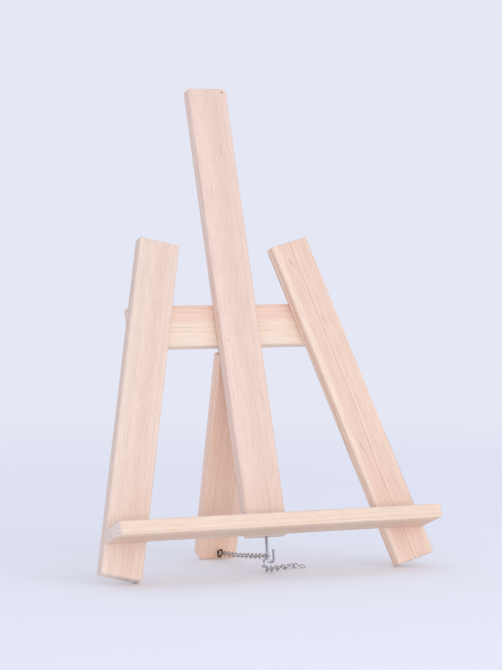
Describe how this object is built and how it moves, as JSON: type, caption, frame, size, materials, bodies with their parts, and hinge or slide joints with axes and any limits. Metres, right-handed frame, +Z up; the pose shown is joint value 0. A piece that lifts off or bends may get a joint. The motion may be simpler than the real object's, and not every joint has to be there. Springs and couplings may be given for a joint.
{
  "type": "tabletop display easel",
  "caption": "Folding wooden tabletop easel that holds a plate or framed picture upright on a ledge, with a hinged rear leg and a stay chain.",
  "frame": {"origin": "middle of the stand's outline on the table top, with the stand open and its chain taut", "axes": "+Z up, -Y the side that faces the viewer, +Y the rear leg's side, +X to the viewer's right"},
  "size_m": [0.3805, 0.2134, 0.5109],
  "materials": {
    "pine_legs": "planed, unfinished",
    "pine_mast": "planed, unfinished",
    "pine_crossbar": "planed, unfinished",
    "pine_ledge": "planed, unfinished",
    "pine_rear_leg": "planed, unfinished",
    "hinge_steel": "satin",
    "screw_zinc": "zinc plated, satin",
    "hook_zinc": "bright zinc plated",
    "chain_steel": "dull, darkened"
  },
  "bodies": {
    "frame": {"left_leg": "pine_legs", "right_leg": "pine_legs", "mast": "pine_mast", "crossbar": "pine_crossbar", "ledge": "pine_ledge", "hinge_leaf_upper": "hinge_steel", "hinge_pin": "hinge_steel", "hinge_screw_upper_1": "screw_zinc", "hinge_screw_upper_2": "screw_zinc", "crossbar_screw_left_1": "screw_zinc", "crossbar_screw_left_2": "screw_zinc", "crossbar_screw_mast_1": "screw_zinc", "crossbar_screw_mast_2": "screw_zinc", "crossbar_screw_right_1": "screw_zinc", "crossbar_screw_right_2": "screw_zinc", "ledge_screw_left_1": "screw_zinc", "ledge_screw_left_2": "screw_zinc", "ledge_screw_mast_1": "screw_zinc", "ledge_screw_mast_2": "screw_zinc", "ledge_screw_right_1": "screw_zinc", "ledge_screw_right_2": "screw_zinc", "screw_hook": "hook_zinc", "chain_hook_link": "chain_steel", "chain_drop_link": "chain_steel"},
    "rear_leg": {"rear_leg": "pine_rear_leg", "hinge_leaf_lower": "hinge_steel", "hinge_screw_lower_1": "screw_zinc", "hinge_screw_lower_2": "screw_zinc", "screw_eye": "hook_zinc"},
    "chain_rear": {"chain_rear_link_1": "chain_steel", "chain_rear_link_2": "chain_steel", "chain_rear_link_3": "chain_steel", "chain_rear_link_4": "chain_steel", "chain_rear_link_5": "chain_steel"},
    "chain_front": {"chain_front_link_1": "chain_steel", "chain_front_link_2": "chain_steel", "chain_front_link_3": "chain_steel", "chain_front_link_4": "chain_steel", "chain_front_link_5": "chain_steel"},
    "chain_tail": {"chain_tail_link_1": "chain_steel", "chain_tail_link_2": "chain_steel", "chain_tail_link_3": "chain_steel", "chain_tail_link_4": "chain_steel", "chain_tail_link_5": "chain_steel", "chain_end_link": "chain_steel"}
  },
  "joints": [
    {"name": "rear_leg_fold", "type": "hinge", "parent": "frame", "child": "rear_leg", "pos_m": [0.0025, 0.03346, 0.22915], "axis": [1, 0, 0], "range_deg": [-28.75, 0]},
    {"name": "chain_rear_swing", "type": "hinge", "parent": "rear_leg", "child": "chain_rear", "pos_m": [0.00291, 0.06104, 0.00707], "axis": [0.3601, 0.0662, 0.9306], "range_deg": [0, 84.9], "deforming": ["chain_rear_link_1", "chain_rear_link_2", "chain_rear_link_3", "chain_rear_link_4", "chain_rear_link_5"]},
    {"name": "chain_front_swing", "type": "hinge", "parent": "frame", "child": "chain_front", "pos_m": [-0.00116, -0.05367, 0.01814], "axis": [-0.2616, -0.0943, -0.9605], "range_deg": [0, 100.2], "deforming": ["chain_front_link_1", "chain_front_link_2", "chain_front_link_3", "chain_front_link_4", "chain_front_link_5"]},
    {"name": "chain_tail_swing", "type": "hinge", "parent": "frame", "child": "chain_tail", "pos_m": [-0.00398, -0.06114, 0.00891], "axis": [0, 0, 1], "range_deg": [-12, 25]}
  ],
  "couplings": [
    {"joint": "chain_rear_swing", "follows": "rear_leg_fold", "ratio": -2.9513},
    {"joint": "chain_front_swing", "follows": "rear_leg_fold", "ratio": -3.4818}
  ]
}
